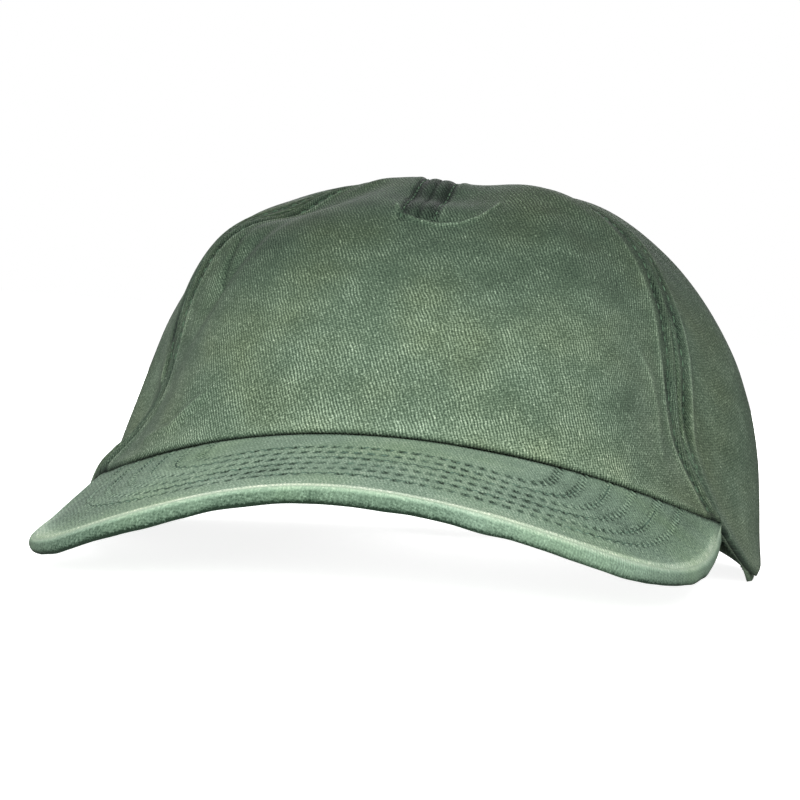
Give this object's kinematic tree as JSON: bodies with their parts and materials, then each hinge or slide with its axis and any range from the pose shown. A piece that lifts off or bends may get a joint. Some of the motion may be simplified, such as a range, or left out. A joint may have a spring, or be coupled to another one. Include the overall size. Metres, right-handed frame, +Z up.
{
  "type": "soft cotton cap with a curved peak",
  "caption": "Unstructured washed cotton-twill cap with a low soft crown, a curved stitched peak and a strap with a slide buckle at the back.",
  "frame": {"origin": "middle of the cap's footprint, on the surface that it stands on", "axes": "+Z up, -Y towards the front edge of the peak, +X towards the wearer's left"},
  "size_m": [0.1751, 0.264, 0.0972],
  "materials": {
    "crown_twill": "washed cotton twill, dark green",
    "peak_twill": "washed cotton twill, dark green, paler where worn",
    "band_twill": "cotton twill, dark green",
    "antique_brass": "brushed antique brass"
  },
  "bodies": {
    "root": {"front_panel": "crown_twill", "side_panel_left": "crown_twill", "side_panel_right": "crown_twill", "back_panel_left": "crown_twill", "back_panel_right": "crown_twill", "peak": "peak_twill", "sweatband": "band_twill", "strap": "band_twill", "buckle": "antique_brass", "button": "crown_twill"}
  },
  "joints": []
}
